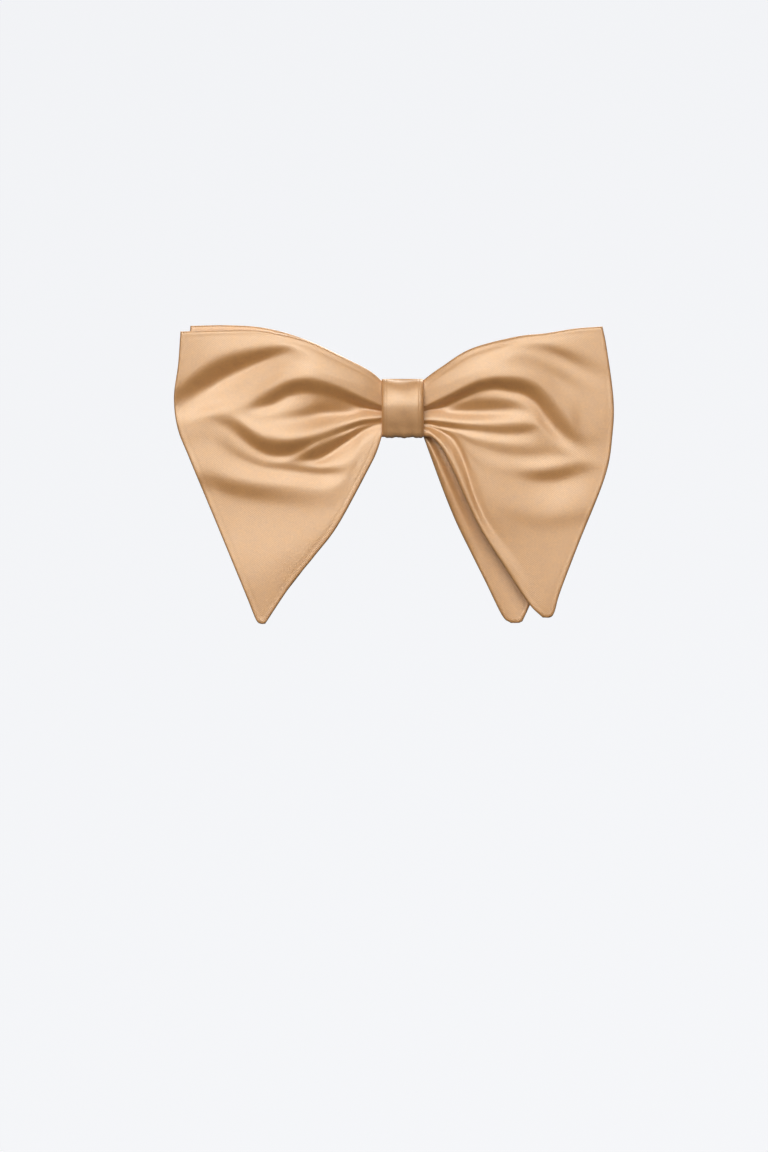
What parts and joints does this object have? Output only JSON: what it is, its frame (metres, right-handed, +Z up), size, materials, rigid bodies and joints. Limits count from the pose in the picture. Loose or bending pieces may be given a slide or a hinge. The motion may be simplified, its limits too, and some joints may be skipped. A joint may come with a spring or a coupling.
{
  "type": "pre-tied bow tie",
  "caption": "Oversized pre-tied satin bow tie with drooping pointed leaves in two layers, a wrapped knot, and an adjustable neck strap with a hook and eye.",
  "frame": {"origin": "centre of the flat back of the knot, where the bow rests on the collar", "axes": "-Y is the front, +X is the right as seen from the front, +Z is up; the neck strap lies level, behind the knot"},
  "size_m": [0.1313, 0.1138, 0.0882],
  "materials": {
    "satin": "champagne gold satin",
    "strap_satin": "champagne gold satin, plain",
    "lining": "woven interlining",
    "thread": "sewing thread",
    "hardware": "pale gold plate"
  },
  "bodies": {
    "knot": {"knot_band": "satin", "knot_padding": "lining", "gather_binding": "thread", "front_gather": "satin", "back_gather": "satin", "neck_strap": "strap_satin", "strap_return_run": "strap_satin"},
    "front_left_leaf": {"front_left_face_panel": "satin", "front_left_interlining": "lining", "front_left_back_panel": "satin"},
    "front_right_leaf": {"front_right_face_panel": "satin", "front_right_interlining": "lining", "front_right_back_panel": "satin"},
    "back_left_leaf": {"back_left_face_panel": "satin", "back_left_interlining": "lining", "back_left_back_panel": "satin"},
    "back_right_leaf": {"back_right_face_panel": "satin", "back_right_interlining": "lining", "back_right_back_panel": "satin"},
    "adjuster": {"adjuster_slide": "hardware", "strap_adjuster_loop": "strap_satin", "adjuster_loop_bartack": "thread"},
    "hook_tab": {"strap_hook_tab": "strap_satin"},
    "hook": {"hook": "hardware"},
    "eye_tab": {"strap_eye_tab": "strap_satin", "eye_tab_bartack": "thread"},
    "eye": {"eye": "hardware"}
  },
  "joints": [
    {"name": "front_left_flex", "type": "hinge", "parent": "knot", "child": "front_left_leaf", "pos_m": [-0.0065, -0.0107, 0], "axis": [0, 0, 1], "range_deg": [0, 25], "stiffness_Nm_per_rad": 0.002},
    {"name": "front_right_flex", "type": "hinge", "parent": "knot", "child": "front_right_leaf", "pos_m": [0.0065, -0.0107, 0], "axis": [0, 0, -1], "range_deg": [0, 25], "stiffness_Nm_per_rad": 0.002},
    {"name": "back_left_flex", "type": "hinge", "parent": "knot", "child": "back_left_leaf", "pos_m": [-0.0065, -0.0048, 0], "axis": [0, 0, -1], "range_deg": [0, 4], "stiffness_Nm_per_rad": 0.002},
    {"name": "back_right_flex", "type": "hinge", "parent": "knot", "child": "back_right_leaf", "pos_m": [0.0065, -0.0048, 0], "axis": [0, 0, 1], "range_deg": [0, 4], "stiffness_Nm_per_rad": 0.002},
    {"name": "adjuster_travel", "type": "hinge", "parent": "knot", "child": "adjuster", "pos_m": [0.013, 0.047, 0], "axis": [0, 0, 1], "range_deg": [-10, 50], "deforming": ["strap_return_run"]},
    {"name": "hook_tab_bend", "type": "hinge", "parent": "knot", "child": "hook_tab", "pos_m": [0.03902, 0.0904, 0], "axis": [0, 0, -1], "range_deg": [0, 55], "stiffness_Nm_per_rad": 0.001},
    {"name": "hook_swing", "type": "hinge", "parent": "hook_tab", "child": "hook", "pos_m": [0.012, 0.09625, 0], "axis": [0, 0, -1], "range_deg": [0, 40]},
    {"name": "eye_tab_bend", "type": "hinge", "parent": "knot", "child": "eye_tab", "pos_m": [-0.0384, 0.08937, 0], "axis": [0, 0, -1], "range_deg": [0, 40], "stiffness_Nm_per_rad": 0.001},
    {"name": "eye_swing", "type": "hinge", "parent": "eye_tab", "child": "eye", "pos_m": [-0.0095, 0.09625, 0], "axis": [0, 0, -1], "range_deg": [0, 40]}
  ]
}
